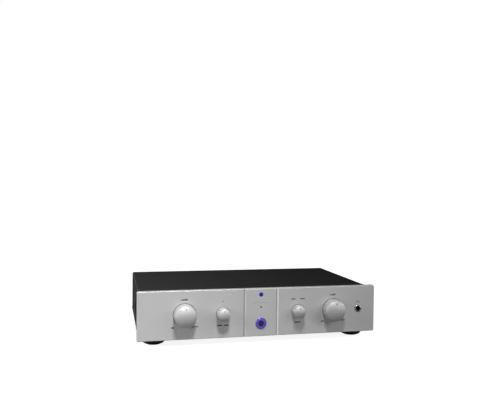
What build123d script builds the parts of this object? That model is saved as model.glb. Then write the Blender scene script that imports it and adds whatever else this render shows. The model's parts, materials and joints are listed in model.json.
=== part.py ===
from build123d import *
import math
import os

# Full-width integrated stereo amplifier: a black folded-steel case on four round feet
# behind a thick silver faceplate that carries two large domed level knobs, two small
# selector knobs, a ring-lit push button, an indicator and a headphone socket.
#
# Millimetres. +X is to the right seen from the front, +Y runs from the front to the back,
# +Z is up. The origin is the centre of the footprint, on the surface the feet stand on.

# ---------------------------------------------------------------- driving dimensions
FACE_W = 430.0          # faceplate
FACE_H = 84.0
FACE_T = 9.0
FACE_LIFT = 12.0        # faceplate's lower edge above the surface
CASE_W = 424.0          # folded cover, outside width
CASE_D = 255.0          # faceplate's back to the rear panel's outer face
CASE_Z0 = 15.0          # underside of the case
CASE_Z1 = 91.5          # top of the case
SHEET = 1.2             # cover sheet
PLATE = 1.5             # base, sub-panel and rear panel sheet
CASE_CORNER_R = 2.6     # upper corners of the cover and the rear panel
PCB = 1.6               # circuit board thickness

BIG_X = 134.5           # large knobs, either side of the middle
SMALL_X = 68.0          # small knobs, either side of the middle
KNOB_PROUD = 22.0       # large knob's crown in front of the faceplate
CTRL_Z = FACE_LIFT + 42.0   # height of the row of controls
BUTTON_Z = FACE_LIFT + 22.8
INDICATOR_Z = FACE_LIFT + 51.2
BADGE_Z = FACE_LIFT + 73.4
JACK_X = 183.0
JACK_Z = FACE_LIFT + 42.3
BUTTON_HOLE_R = 9.0
JACK_HOLE_R = 5.0

POST_PROUD = 24.0       # speaker posts behind the rear panel
POST_PITCH = 19.05      # spacing within a pair of posts
POST_X = (-95.0, -95.0 + POST_PITCH, -5.0 - POST_PITCH, -5.0)
POST_Z = 54.0
LINE_X = (73.0, 95.0, 117.0)             # phono sockets, three pairs
LINE_Z = (42.0, 66.0)
INLET_X = -165.0

# ---------------------------------------------------------------- derived planes
TOTAL_D = KNOB_PROUD + FACE_T + CASE_D + POST_PROUD
FRONT = -TOTAL_D / 2 + KNOB_PROUD  # faceplate's front plane
FACE_BACK = FRONT + FACE_T         # faceplate's back plane
SUB_BACK = FACE_BACK + PLATE       # back of the sub-panel
REAR = FACE_BACK + CASE_D          # rear panel's outer face
REAR_IN = REAR - PLATE             # rear panel's inner face
FLOOR = CASE_Z0 + PLATE            # top of the base sheet
BOARD_Z = FLOOR + 10.0             # underside of the flat boards
BOARD_TOP = BOARD_Z + PCB
CASE_X = CASE_W / 2
IN_X = CASE_X - SHEET              # inside of the cover's walls
CONTROL_BOARD_Y = SUB_BACK + 14.0  # front faces of the two upright boards
INPUT_BOARD_Y = REAR - 18.0

KNOB_PLACES = [(x, CTRL_Z) for x in (-BIG_X, BIG_X, -SMALL_X, SMALL_X)]
LINE_PLACES = [(x, z) for x in LINE_X for z in LINE_Z]

os.makedirs("parts", exist_ok=True)


# ---------------------------------------------------------------- helpers
def box(x0, x1, y0, y1, z0, z1):
    return Pos((x0 + x1) / 2, (y0 + y1) / 2, (z0 + z1) / 2) * Box(
        abs(x1 - x0), abs(y1 - y0), abs(z1 - z0)
    )


def cyl_x(r, x0, x1, y, z):
    return Pos((x0 + x1) / 2, y, z) * Rot(0, 90, 0) * Cylinder(r, abs(x1 - x0))


def cyl_y(r, y0, y1, x, z):
    return Pos(x, (y0 + y1) / 2, z) * Rot(90, 0, 0) * Cylinder(r, abs(y1 - y0))


def cyl_z(r, z0, z1, x, y):
    return Pos(x, y, (z0 + z1) / 2) * Cylinder(r, abs(z1 - z0))


def drill_y(part, r, y0, y1, places):
    """Cut a hole along Y at each (x, z)."""
    for x, z in places:
        part -= cyl_y(r, y0, y1, x, z)
    return part


def drill_z(part, r, z0, z1, places):
    """Cut a hole along Z at each (x, y)."""
    for x, y in places:
        part -= cyl_z(r, z0, z1, x, y)
    return part


def hex_nut(across, bore_r, y0, y1, x, z):
    body = Pos(x, y0, z) * Rot(-90, 0, 0) * extrude(
        RegularPolygon(across / 2, 6, major_radius=False), abs(y1 - y0)
    )
    return body - cyl_y(bore_r, y0 - 1, y1 + 1, x, z)


def turned_y(points, x, y, z):
    """A solid turned about a line along Y. points are (radius, distance behind y)."""
    face = make_face(Polyline(*points, close=True))
    return Pos(x, y, z) * revolve(face, Axis.Y)


def turned_z(points, x, y):
    """A solid turned about a vertical line. points are (radius, height)."""
    face = make_face(Plane.XZ * Polyline(*points, close=True))
    return Pos(x, y, 0) * revolve(face, Axis.Z)


def y_edges_above(part, z):
    return [e for e in part.edges().filter_by(Axis.Y) if e.center().Z > z]


def back_edges(part):
    return part.faces().sort_by(Axis.Y)[-1].edges()


def solids_of(shape):
    if isinstance(shape, (list, tuple)):
        return [solid for item in shape for solid in solids_of(item)]
    return list(shape.solids())


def save(name, shape):
    solids = solids_of(shape)
    body = solids[0] if len(solids) == 1 else Compound(solids)
    body.label = name
    export_step(body, f"parts/{name}.step")


# ================================================================ faceplate
GROOVE_X = 29.5         # vertical grooves either side of the middle section
GROOVE_W = 4.4
GROOVE_D = 1.7
GROOVE_OVERCUT = 0.5    # the V cutter starts this far in front of the face
FACE_SCREWS = [(x, z) for x in (-203, -100, 100, 203) for z in (22.0, 84.0)]
BADGE_RECESS = 1.0

face = box(-FACE_W / 2, FACE_W / 2, FRONT, FACE_BACK, FACE_LIFT, FACE_LIFT + FACE_H)
face = fillet(face.edges().filter_by(Axis.Y), 2.2)
face = fillet(face.faces().sort_by(Axis.Y)[0].edges(), 1.2)
face = chamfer(back_edges(face), 0.4)
for x in (-GROOVE_X, GROOVE_X):
    half = GROOVE_W / 2 * (GROOVE_D + GROOVE_OVERCUT) / GROOVE_D
    vee = make_face(Polyline(
        (x - half, FRONT - GROOVE_OVERCUT),
        (x + half, FRONT - GROOVE_OVERCUT),
        (x, FRONT + GROOVE_D),
        close=True,
    ))
    face -= Pos(0, 0, FACE_LIFT - 2) * extrude(vee, FACE_H + 4)
through_face = (FRONT - 1, FACE_BACK + 1)
face = drill_y(face, 7.0, *through_face, KNOB_PLACES)
face -= cyl_y(BUTTON_HOLE_R, *through_face, 0, BUTTON_Z)
face -= cyl_y(1.55, *through_face, 0, INDICATOR_Z)
face -= cyl_y(3.9, FRONT - 1, FRONT + BADGE_RECESS, 0, BADGE_Z)
face -= cyl_y(JACK_HOLE_R, *through_face, JACK_X, JACK_Z)
face = drill_y(face, 2.0, FACE_BACK - 6.5, FACE_BACK + 1, FACE_SCREWS)
save("faceplate", face)

# sub-panel: folded steel bracket behind the faceplate, carries the controls
SUB_X = IN_X - 0.3
sub = box(-SUB_X, SUB_X, FACE_BACK, SUB_BACK, FLOOR, CASE_Z1 - SHEET - 0.3)
sub = fillet(y_edges_above(sub, CASE_Z1 - 3), 2.5)
sub += box(-SUB_X, SUB_X, FACE_BACK, SUB_BACK + 14, FLOOR, FLOOR + PLATE)
through_sub = (FACE_BACK - 1, SUB_BACK + 1)
sub = drill_y(sub, 3.7, *through_sub, KNOB_PLACES)
sub -= cyl_y(BUTTON_HOLE_R, *through_sub, 0, BUTTON_Z)
sub -= cyl_y(1.7, *through_sub, 0, INDICATOR_Z)
sub -= cyl_y(JACK_HOLE_R, *through_sub, JACK_X, JACK_Z)
sub = drill_y(sub, 2.2, *through_sub, FACE_SCREWS)
save("sub_panel", sub)


def face_screw(x, z):
    """Cross-slotted screw driven forward through the sub-panel into the faceplate."""
    arm, half = 2.6, 0.45
    slot = (SUB_BACK + 1.4, SUB_BACK + 3)
    screw = cyl_y(1.95, FACE_BACK - 6, SUB_BACK, x, z)
    screw += cyl_y(3.6, SUB_BACK, SUB_BACK + 2.4, x, z)
    screw -= box(x - arm, x + arm, *slot, z - half, z + half)
    screw -= box(x - half, x + half, *slot, z - arm, z + arm)
    return screw


save("faceplate_screws", [face_screw(x, z) for x, z in FACE_SCREWS])

# ================================================================ knobs and their controls
SHAFT_R = 3.0           # control spindles
SHAFT_BORE_R = 3.05     # bushes that the spindles turn in
BUSH_R = 3.6
CAN_D = 13.0            # depth of the control bodies
MARK_W = 1.2            # pointer line
MARK_DEPTH = 0.55
MARK_CUTTER = 3.0       # length of the pointer's cutter

# radius: at the base; proud: crown in front of the faceplate; rim: rounding at the edge;
# crown: rise of the domed front; mark_in, mark_out: pointer's ends above the axis
LARGE = dict(radius=19.4, proud=KNOB_PROUD, rim=6.0, crown=6.6, mark_in=11.0, mark_out=14.4)
SMALL = dict(radius=11.3, proud=17.0, rim=3.8, crown=4.0, mark_in=5.2, mark_out=7.9)


def knob(x, radius, proud, rim, crown, mark_in, mark_out):
    """Turned knob with a rounded rim and a domed front, bored from behind."""
    edge = radius - 0.5
    edge_y = crown - proud
    dome_r = (edge**2 + crown**2) / (2 * crown)
    half_rise = dome_r - math.sqrt(dome_r**2 - (edge / 2) ** 2)
    with BuildSketch(Plane.XY) as half:
        with BuildLine():
            Polyline((0, -1.0), (radius - 0.4, -1.0), (radius, -1.4), (edge, edge_y))
            ThreePointArc((edge, edge_y), (edge / 2, half_rise - proud), (0, -proud))
            Line((0, -proud), (0, -1.0))
        make_face()
        corner = [
            v for v in half.vertices()
            if abs(v.X - edge) < 0.01 and abs(v.Y - edge_y) < 0.01
        ]
        fillet(corner, rim)
    body = Pos(x, FRONT, CTRL_Z) * revolve(half.sketch, Axis.Y)
    # room for the nut, then the spindle's bore
    body -= cyl_y(7.4, FRONT + 1, FRONT - 3.2, x, CTRL_Z)
    body -= cyl_y(SHAFT_R + 0.02, FRONT, FRONT - proud + 4.5, x, CTRL_Z)
    # pointer: a short milled line near the rim, square to the dome, at twelve o'clock
    middle = (mark_in + mark_out) / 2
    tilt = math.asin(middle / dome_r)
    rise = dome_r * (1 - math.cos(tilt))
    lift = MARK_CUTTER / 2 - MARK_DEPTH
    mark_y = FRONT - proud + rise - lift * math.cos(tilt)
    body -= (
        Pos(x, mark_y, CTRL_Z + middle + lift * math.sin(tilt))
        * Rot(-math.degrees(tilt), 0, 0)
        * Box(MARK_W, MARK_CUTTER, mark_out - mark_in)
    )
    return body


def pot_can(x):
    """Potentiometer body with three terminals on a tab below it."""
    can = cyl_y(12.0, SUB_BACK, SUB_BACK + CAN_D, x, CTRL_Z)
    can += box(x - 8, x + 8, SUB_BACK, SUB_BACK + 4.5, CTRL_Z - 17, CTRL_Z - 2)
    for pin_x in (x - 5, x, x + 5):
        can += box(pin_x - 0.6, pin_x + 0.6, SUB_BACK + 2, SUB_BACK + 14,
                   CTRL_Z - 16.5, CTRL_Z - 15.5)
    return can


def switch_can(x):
    """Stepped rotary switch body with a ring of six terminals."""
    pin_circle_r = 11.7
    can = cyl_y(13.0, SUB_BACK, SUB_BACK + 9.0, x, CTRL_Z)
    can += cyl_y(10.5, SUB_BACK + 8.9, SUB_BACK + CAN_D, x, CTRL_Z)
    for k in range(6):
        a = math.radians(30 + 60 * k)
        can += cyl_y(0.6, SUB_BACK + 8, SUB_BACK + 14,
                     x + pin_circle_r * math.cos(a), CTRL_Z + pin_circle_r * math.sin(a))
    return can


def with_bush(can, x):
    """Adds the threaded bush that passes forward through the sub-panel, and bores it."""
    body = can + cyl_y(BUSH_R, SUB_BACK - 6.5, SUB_BACK + 0.5, x, CTRL_Z)
    body -= cyl_y(SHAFT_BORE_R, SUB_BACK - 8, SUB_BACK + 10.5, x, CTRL_Z)
    return body


# x, knob sizes, body, names of the knob, spindle and body
CONTROLS = [
    (-BIG_X, LARGE, pot_can, "volume_knob", "volume_pot_shaft", "volume_pot_body"),
    (BIG_X, LARGE, pot_can,
     "headphone_level_knob", "headphone_pot_shaft", "headphone_pot_body"),
    (-SMALL_X, SMALL, switch_can,
     "input_selector_knob", "input_selector_shaft", "input_selector_switch"),
    (SMALL_X, SMALL, switch_can,
     "tone_selector_knob", "tone_selector_shaft", "tone_selector_switch"),
]
nuts = []
for x, sizes, make_can, knob_name, shaft_name, body_name in CONTROLS:
    save(knob_name, knob(x, **sizes))
    save(body_name, with_bush(make_can(x), x))
    save(shaft_name, cyl_y(SHAFT_R, SUB_BACK + 10, FRONT - sizes["proud"] + 5.0, x, CTRL_Z))
    nuts.append(hex_nut(10.0, BUSH_R + 0.05, FACE_BACK - 2.6, FACE_BACK, x, CTRL_Z))

# ================================================================ power button
# chrome bezel with a threaded barrel, fixed blue light ring, sprung dark cap
CAP_BACK = 4.0          # behind the faceplate's front: back of the cap's skirt
POCKET_FLOOR = 16.0     # and floor of the switch's spring pocket
BUTTON_TURNED = {
    "power_button_bezel": [
        (8.6, -1.2), (9.3, -1.2), (9.75, -0.8), (9.85, -0.05), (9.85, 0.0), (8.95, 0.0),
        (8.95, 16.0), (8.0, 16.0), (8.0, 0.6), (8.6, 0.6),
    ],
    "power_button_light_ring": [
        (5.1, -0.9), (5.6, -1.5), (7.9, -1.5), (8.55, -1.0), (8.55, 0.55), (7.95, 0.55),
        (7.95, 6.0), (5.1, 6.0),
    ],
    "power_button_cap": [
        (0, -2.5), (3.2, -2.45), (4.5, -2.25), (4.95, -1.7), (4.95, CAP_BACK),
        (2.0, CAP_BACK), (2.0, 24.0), (0, 24.0),
    ],
}
for name, points in BUTTON_TURNED.items():
    save(name, turned_y(points, 0, FRONT, BUTTON_Z))

switch = turned_y(
    [(4.6, 6.5), (7.9, 6.5), (7.9, 32.0), (0, 32.0), (0, 27.0), (2.1, 27.0),
     (2.1, POCKET_FLOOR), (4.6, POCKET_FLOOR)],
    0, FRONT, BUTTON_Z,
)
for x in (-4.5, 0, 4.5):
    switch += box(x - 1.0, x + 1.0, FRONT + 31.5, FRONT + 38, BUTTON_Z - 0.4, BUTTON_Z + 0.4)
save("power_switch_body", switch)

# return spring between the cap and the floor of the switch's pocket
COIL_R, WIRE_R, TURNS = 3.3, 0.35, 5
END_GAP = WIRE_R + 0.02
spring_y = FRONT + CAP_BACK + END_GAP
spring_len = POCKET_FLOOR - CAP_BACK - 2 * END_GAP
coil = Helix(pitch=spring_len / TURNS, height=spring_len, radius=COIL_R)
wire = Plane(origin=coil @ 0, z_dir=coil % 0) * Circle(WIRE_R)
spring = sweep(wire, path=coil, is_frenet=True)
save("power_button_spring", Pos(0, spring_y, BUTTON_Z) * Rot(-90, 0, 0) * spring)
nuts.append(hex_nut(24.0, BUTTON_HOLE_R, SUB_BACK, SUB_BACK + 3.0, 0, BUTTON_Z))

# ================================================================ indicator, badge, headphone socket
save("indicator_light_pipe", turned_y(
    [(0, -0.35), (0.9, -0.25), (1.35, 0.0), (1.5, 0.3), (1.5, 24.4), (0, 24.4)],
    0, FRONT, INDICATOR_Z,
))
save("front_badge_disc", turned_y(
    [(0, -0.55), (2.6, -0.45), (3.5, -0.15), (3.85, 0.2), (3.85, BADGE_RECESS),
     (0, BADGE_RECESS)],
    0, FRONT, BADGE_Z,
))

JACK_BORE_R = 3.25      # takes a 6.35 mm plug
jack = box(JACK_X - 10, JACK_X + 10, SUB_BACK, SUB_BACK + 30, JACK_Z - 9, JACK_Z + 9)
jack = fillet(jack.edges().filter_by(Axis.Y), 1.0)
jack += cyl_y(4.9, FRONT - 1.0, SUB_BACK + 0.5, JACK_X, JACK_Z)
jack -= cyl_y(JACK_BORE_R, FRONT - 2, FRONT + 32, JACK_X, JACK_Z)
for x in (JACK_X - 6, JACK_X, JACK_X + 6):
    jack += box(x - 0.8, x + 0.8, SUB_BACK + 29, SUB_BACK + 34, JACK_Z - 6.3, JACK_Z - 5.7)
save("headphone_jack", jack)
save("headphone_jack_nut", turned_y(
    [(4.95, -1.0), (5.8, -1.0), (6.6, -0.4), (6.6, 0.0), (4.95, 0.0)], JACK_X, FRONT, JACK_Z
))

# ================================================================ case
SIDE_SCREW_Z = 24.0
SIDE_SCREWS = [(side, y) for side in (-1, 1) for y in (FACE_BACK + 40, FACE_BACK + 222)]
REAR_SCREW_X = (-195.0, 30.0, 195.0)
REAR_TOP = [(x, 86.2) for x in REAR_SCREW_X]
REAR_LOW = [(x, 19.0) for x in REAR_SCREW_X]
TAPPED_R = 1.3          # holes the case screws bite into
CLEAR_R = 1.65          # holes the case screws pass through
FOOT_X = 184.0
FOOT_INSET_Y = 36.0
FEET = [(x, y) for x in (-FOOT_X, FOOT_X)
        for y in (FRONT + FOOT_INSET_Y, REAR - FOOT_INSET_Y)]
TR_X, TR_Y = -130.0, FRONT + 93.0    # mains transformer's axis

cover = box(-CASE_X, CASE_X, FACE_BACK, REAR_IN, CASE_Z0, CASE_Z1)
cover = fillet(y_edges_above(cover, CASE_Z1 - 1), CASE_CORNER_R)
hollow = box(-IN_X, IN_X, FACE_BACK - 5, REAR + 5, CASE_Z0 - 5, CASE_Z1 - SHEET)
hollow = fillet(y_edges_above(hollow, CASE_Z1 - SHEET - 1), CASE_CORNER_R - SHEET)
cover -= hollow
# folded lip along the back edge, which takes the rear panel's upper screws
cover += box(-IN_X + 6, IN_X - 6, REAR_IN - 1.2, REAR_IN, CASE_Z1 - 10.5, CASE_Z1 - SHEET + 0.2)
# gap in the lip above the mains inlet
cover -= box(INLET_X - 15.5, INLET_X + 15.5, REAR - 8, REAR + 1, CASE_Z1 - 12, CASE_Z1 - SHEET)
# cooling slots in each side wall, beside the transformer on the left and the heatsink
# on the right
for i in range(12):
    for side in (-1, 1):
        cover -= Pos(side * CASE_X, FACE_BACK + 35 + i * 8.4, 49.0) * Rot(0, 90, 0) * extrude(
            SlotOverall(26.0, 3.0), 3, both=True
        )
for side, y in SIDE_SCREWS:
    cover -= cyl_x(CLEAR_R, side * (CASE_X - 3), side * (CASE_X + 1), y, SIDE_SCREW_Z)
cover = drill_y(cover, TAPPED_R, REAR - 6, REAR + 1, REAR_TOP)
save("top_cover", cover)

# base sheet with upturned flanges along its sides and back
BASE_X = IN_X - 0.2
base = box(-BASE_X, BASE_X, FACE_BACK, REAR_IN, CASE_Z0, FLOOR)
for side in (-1, 1):
    base += box(side * BASE_X, side * (BASE_X - PLATE), SUB_BACK + 15, REAR_IN,
                CASE_Z0 + 0.5, 34.0)
base += box(-IN_X + 4, IN_X - 4, REAR_IN - PLATE, REAR_IN, CASE_Z0 + 0.5, 21.8)
for side, y in SIDE_SCREWS:
    base -= cyl_x(TAPPED_R, side * (IN_X - 6), side * (IN_X + 1), y, SIDE_SCREW_Z)
base = drill_y(base, TAPPED_R, REAR - 6, REAR + 1, REAR_LOW)
base = drill_z(base, 2.1, CASE_Z0 - 1, FLOOR + 1, FEET)
# two rows of slots, long side front to back
for i in range(9):
    for y in (-25.0, 50.0):
        base -= Pos(-10 + i * 20.0, y, CASE_Z0) * Rot(0, 0, 90) * extrude(
            SlotOverall(44, 5), 3, both=True
        )
base -= cyl_z(4.1, CASE_Z0 - 1, FLOOR + 1, TR_X, TR_Y)
save("chassis_base", base)

through_rear = (REAR - 5, REAR + 5)
rear = box(-CASE_X, CASE_X, REAR_IN, REAR, CASE_Z0, CASE_Z1)
rear = fillet(y_edges_above(rear, CASE_Z1 - 1), CASE_CORNER_R)
rear -= box(INLET_X - 13.8, INLET_X + 13.8, *through_rear, 21.9, 86.1)
rear = drill_y(rear, 5.0, *through_rear, [(x, POST_Z) for x in POST_X])
rear = drill_y(rear, 5.2, *through_rear, LINE_PLACES)
rear = drill_y(rear, CLEAR_R, *through_rear, REAR_TOP + REAR_LOW)
# upright exhaust slots near the +X end
for i in range(7):
    rear -= Pos(148 + i * 8.0, REAR, 54.0) * Rot(90, 0, 0) * extrude(
        Rot(0, 0, 90) * SlotOverall(44, 3.4), 4, both=True
    )
save("rear_panel", rear)


def case_screw(shank):
    """Domed cross-slotted screw along Y, head behind the origin, shank in front of it."""
    arm, half = 1.8, 0.4
    head = cyl_y(2.9, 0, 1.7, 0, 0)
    head = fillet([head.edges().filter_by(GeomType.CIRCLE).sort_by(Axis.Y)[-1]], 0.9)
    screw = cyl_y(1.2, -shank, 0, 0, 0) + head
    screw -= box(-arm, arm, 0.7, 3, -half, half)
    screw -= box(-half, half, 0.7, 3, -arm, arm)
    return screw


screws = [
    Pos(side * CASE_X, y, SIDE_SCREW_Z) * Rot(0, 0, -90 * side) * case_screw(SHEET + 5)
    for side, y in SIDE_SCREWS
]
screws += [Pos(x, REAR, z) * case_screw(5.5) for x, z in REAR_TOP + REAR_LOW]
save("case_screws", screws)

# ================================================================ feet
# moulded body, bonded rubber pad, screw up through the base
FOOT_R = 19.0
FOOT_PROFILE = [
    (5.2, 1.6), (5.2, 7.0), (2.3, 7.0), (2.3, CASE_Z0), (FOOT_R, CASE_Z0), (FOOT_R, 4.6),
    (FOOT_R - 0.5, 3.0), (FOOT_R - 1.6, 1.9), (FOOT_R - 3.0, 1.6), (14.0, 1.6), (14.0, 3.0),
    (7.0, 3.0), (7.0, 1.6),
]
PAD_PROFILE = [(7.1, 0.4), (7.5, 0.0), (13.4, 0.0), (13.9, 0.5), (13.9, 3.0), (7.1, 3.0)]


def foot_screw(x, y):
    arm, half = 2.6, 0.5
    screw = cyl_z(3.9, 4.4, 7.0, x, y) + cyl_z(2.0, 7.0, FLOOR + 3.0, x, y)
    screw -= box(x - arm, x + arm, y - half, y + half, 3, 5.6)
    screw -= box(x - half, x + half, y - arm, y + arm, 3, 5.6)
    return screw


save("feet", [turned_z(FOOT_PROFILE, x, y) for x, y in FEET])
save("foot_pads", [turned_z(PAD_PROFILE, x, y) for x, y in FEET])
save("foot_screws", [foot_screw(x, y) for x, y in FEET])

# ================================================================ mains transformer
CORE = (24, 42, 24, 54)         # inner radius, outer radius, bottom, top
WIND_Z0, WIND_Z1 = 18, 60
CLAMP_Z0, CLAMP_Z1 = 62.0, 63.6
LEAD_Z = (WIND_Z0 + WIND_Z1) / 2     # leads leave at mid height


def annulus(r0, r1, z0, z1):
    """A ring about the transformer's axis."""
    return turned_z([(r0, z0), (r1, z0), (r1, z1), (r0, z1)], TR_X, TR_Y)


save("transformer_core", annulus(*CORE))
winding = annulus(16, 50, WIND_Z0, WIND_Z1)
winding = fillet(winding.edges().filter_by(GeomType.CIRCLE), 6.0)
winding -= annulus(CORE[0] - 0.1, CORE[1] + 0.1, CORE[2] - 0.1, CORE[3] + 0.1)
winding -= cyl_y(3.2, TR_Y + 40, TR_Y + 55, TR_X, LEAD_Z)
save("transformer_winding", winding)
save("transformer_pads", [annulus(9, 46, FLOOR, WIND_Z0), annulus(9, 42, WIND_Z1, CLAMP_Z0)])
save("transformer_clamp", turned_z(
    [(4.2, CLAMP_Z0), (30.0, CLAMP_Z0), (36.0, CLAMP_Z0), (37.5, 63.2), (30.5, CLAMP_Z1),
     (4.2, CLAMP_Z1)],
    TR_X, TR_Y,
))
bolt = cyl_z(4.0, CASE_Z0 - 2.4, CLAMP_Z1, TR_X, TR_Y)
bolt += Pos(TR_X, TR_Y, CLAMP_Z1) * extrude(RegularPolygon(6.5, 6, major_radius=False), 5.3)
bolt += cyl_z(8.0, CASE_Z0 - 2.8, CASE_Z0, TR_X, TR_Y)
save("transformer_bolt", bolt)

# ================================================================ circuit boards
PSU_HOLES = [(-185, 35), (-75, 35), (-175, 94), (-75, 95)]
AMP_HOLES = [(-40, 12), (170, 12), (-40, 93), (170, 93), (65, 93)]
through_board = (BOARD_Z - 1, BOARD_Z + 3)
psu = box(-190, -70, 30, 100, BOARD_Z, BOARD_TOP)
save("power_supply_board", drill_z(psu, 1.6, *through_board, PSU_HOLES))
amp = box(-45, 175, -1.4, 98, BOARD_Z, BOARD_TOP)
save("amplifier_board", drill_z(amp, 1.6, *through_board, AMP_HOLES))


def standoff(x, y):
    """Pillar, stud through the board and a round head just clear of the board."""
    seat = BOARD_TOP + 0.02
    post = cyl_z(3.0, FLOOR, BOARD_Z, x, y) + cyl_z(1.5, BOARD_Z - 1, seat, x, y)
    return post + cyl_z(2.8, seat, BOARD_TOP + 2.0, x, y)


def reservoir(x, y):
    can = cyl_z(12.5, BOARD_TOP, BOARD_TOP + 45, x, y)
    return fillet(can.edges().filter_by(GeomType.CIRCLE).sort_by(Axis.Z)[-1:], 1.2)


save("board_standoffs", [standoff(x, y) for x, y in PSU_HOLES + AMP_HOLES])
save("reservoir_capacitors", [reservoir(x, y) for x in (-160, -131) for y in (48, 77)])

# x0, x1, y0, y1, height above the board
BLOCKS = [
    (-118, -90, 44, 48, 24),         # bridge rectifier
    (-106, -76, 66, 90, 22),         # standby transformer
    (-116.5, -108.5, 70, 92, 12),    # mains fuse clip block
    (-28, -12, 62, 92, 16),          # output relays
    (12, 28, 62, 92, 16),
]
BLOCKS += [(x - 5, x + 5, 78, 84, 4) for x in (55, 80, 105, 130)]    # driver circuits
# radius, height, x, y
CANS = [(6.3, 20, x, 60) for x in (55, 75, 95, 115, 135)]
CANS += [(8.0, 12, x, 36) for x in (-20, 5, 30)]                     # output coils
components = [box(*sides, BOARD_TOP, BOARD_TOP + height) for *sides, height in BLOCKS]
components += [cyl_z(r, BOARD_TOP, BOARD_TOP + height, x, y) for r, height, x, y in CANS]
save("board_components", components)

# heatsink: a wall across the case with fins toward the front
HS_Y0, HS_Y1 = -7.4, -1.6
HS_Z0, HS_Z1 = FLOOR + 1.5, 74
heatsink = box(-45, 175, HS_Y0, HS_Y1, HS_Z0, HS_Z1)
for i in range(20):
    x = -43.5 + i * 11.4
    heatsink += box(x - 1.0, x + 1.0, HS_Y0 - 36, HS_Y0 + 0.5, HS_Z0, HS_Z1)
save("heatsink", heatsink)


def transistor(x):
    """Flat package on the heatsink's back with three legs down to the board."""
    body = box(x - 8, x + 8, HS_Y1, HS_Y1 + 5, 38, 59)
    for leg_x in (x - 5.4, x, x + 5.4):
        body += box(leg_x - 0.6, leg_x + 0.6, HS_Y1 + 2.0, HS_Y1 + 2.8, BOARD_TOP, 38.5)
    return body


save("output_transistors", [transistor(-30 + i * 27.0) for i in range(8)])

control_back = CONTROL_BOARD_Y + PCB
control_board = box(-160, 160, CONTROL_BOARD_Y, control_back, 24, 88)
control_board -= cyl_y(12.5, CONTROL_BOARD_Y - 1, CONTROL_BOARD_Y + 3, 0, BUTTON_Z)
save("control_board", control_board)
save("input_board", box(56, 134, INPUT_BOARD_Y, INPUT_BOARD_Y + PCB, 27, 88))

# ================================================================ wiring harness
BACKWARD, FORWARD, UP, DOWN = (0, 1, 0), (0, -1, 0), (0, 0, 1), (0, 0, -1)
THICK_LEAD_R, THIN_LEAD_R = 1.1, 0.9
PLUG_D = 8              # ribbon plugs, front to back


def wire_run(points, leave, arrive, r):
    """A round lead along a smooth path through the points, square to both of its ends."""
    path = Spline(*[Vector(*p) for p in points], tangents=[Vector(*leave), Vector(*arrive)])
    start = Plane(origin=path @ 0, z_dir=path % 0)
    return sweep(start * Circle(r), path=path)


# ribbon plugs on the control and input boards, and the flat ribbon between them
harness = [
    box(84, 111, control_back, control_back + PLUG_D, 79, 86),
    box(84, 111, INPUT_BOARD_Y - PLUG_D, INPUT_BOARD_Y, 79, 86),
    box(86, 109, control_back + PLUG_D, INPUT_BOARD_Y - PLUG_D, 82, 82.9),
]
# mains inlet to the power supply board
for x, board_x in ((INLET_X - 7, -164.0), (INLET_X + 7, -152.0)):
    harness.append(wire_run(
        [(x, REAR - 29.5, 36), ((x + board_x) / 2, REAR - 36.5, 34.5),
         (board_x, REAR - 39, BOARD_TOP)],
        FORWARD, DOWN, THICK_LEAD_R))
# amplifier board to the speaker posts
for x, board_x in zip(POST_X, (-34.0, -28.0, -16.0, -10.0)):
    harness.append(wire_run(
        [(board_x, 94, BOARD_TOP), ((x + board_x) / 2, 101, POST_Z - 4),
         (x, REAR - 16.0, POST_Z)],
        UP, BACKWARD, THICK_LEAD_R))
# transformer to the power supply board
for k in (-4, 0, 4):
    harness.append(wire_run(
        [(TR_X + k * 0.45, TR_Y + 50.1, LEAD_Z), (TR_X + k * 1.5, 26, 37),
         (TR_X + k * 2, 33.5, BOARD_TOP)],
        BACKWARD, DOWN, THIN_LEAD_R))
# power switch to the power supply board
for k in (-4.5, 4.5):
    harness.append(wire_run(
        [(k, FRONT + 38.0, BUTTON_Z), (-30 + k, -72, 26), (-62 + k, -35, 24),
         (-66 + k, 20, 34), (-82 + k * 0.8, 58, BOARD_TOP)],
        BACKWARD, DOWN, THIN_LEAD_R))
save("internal_wires", harness)

# ================================================================ mains inlet with fuse drawer and rocker
IX = INLET_X
FLANGE = REAR + 2.5     # outer face of the inlet's flange
DRAWER_Z = 60.0
ROCKER_Z, ROCKER_Y = 76.0, FLANGE - 3.5
PINS = [(IX - 7, 36.0), (IX + 7, 36.0), (IX, 41.5)]

inlet = box(IX - 13.6, IX + 13.6, REAR - 25, REAR + 0.1, 22.1, 85.9)
flange = box(IX - 15.5, IX + 15.5, REAR, FLANGE, 20, 88)
flange = fillet(flange.edges().filter_by(Axis.Y), 2.0)
flange = fillet(back_edges(flange), 0.6)
inlet += flange
recess = box(IX - 12.2, IX + 12.2, FLANGE - 17, FLANGE + 2, 28.5, 47.5)
recess = chamfer(y_edges_above(recess, 40), 4.5)
inlet -= recess
inlet -= box(IX - 11.0, IX + 11.0, REAR - 22, FLANGE + 2, DRAWER_Z - 4.3, DRAWER_Z + 4.3)
inlet -= box(IX - 9.5, IX + 9.5, REAR - 12, FLANGE + 2, ROCKER_Z - 6.6, ROCKER_Z + 6.6)
for x, z in PINS:
    inlet -= box(x - 2.05, x + 2.05, REAR - 30, REAR - 10, z - 1.05, z + 1.05)
save("mains_inlet_body", inlet)

pins = []
for x, z in PINS:
    pin = box(x - 2.0, x + 2.0, REAR - 29.5, FLANGE - 2.5, z - 1.0, z + 1.0)
    pins.append(chamfer(back_edges(pin), 0.5))
save("mains_inlet_pins", pins)

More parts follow.
